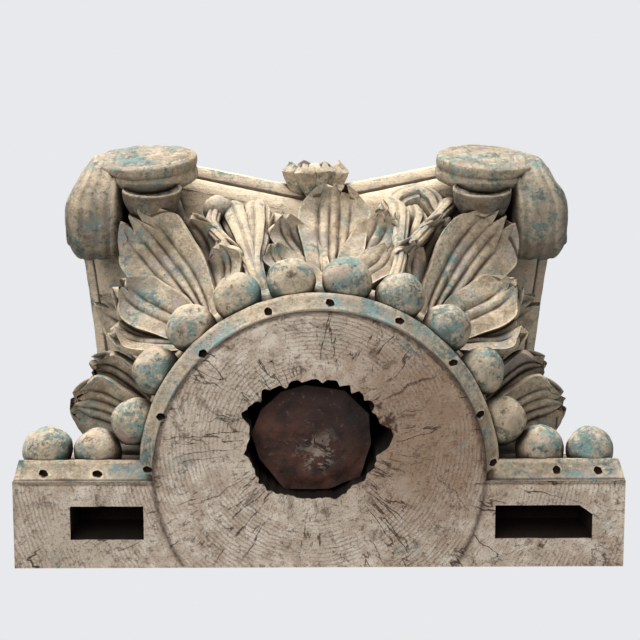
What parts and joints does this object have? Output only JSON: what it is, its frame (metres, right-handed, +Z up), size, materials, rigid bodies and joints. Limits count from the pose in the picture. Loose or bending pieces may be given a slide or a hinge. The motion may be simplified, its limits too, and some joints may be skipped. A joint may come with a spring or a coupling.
{
  "type": "corinthian capital",
  "caption": "Carved wooden Corinthian capital for a half column against a flat pilaster, with acanthus leaves, corner scrolls, a beaded foot and a bored, mortised underside.",
  "frame": {"origin": "on the ground under the middle of the whole block's bounding box", "axes": "+Z up from the foot to the abacus, -Y to the carved front, +Y to the flat wall side, +X to the right seen from above with the front away"},
  "size_m": [0.5, 0.3372, 0.318],
  "materials": {
    "carved_wood": "weathered carved wood with remnants of blue-green paint",
    "dark_wood": "dark broken end grain"
  },
  "bodies": {
    "root": {"capital": "carved_wood", "tenon_stub": "dark_wood"}
  },
  "joints": []
}
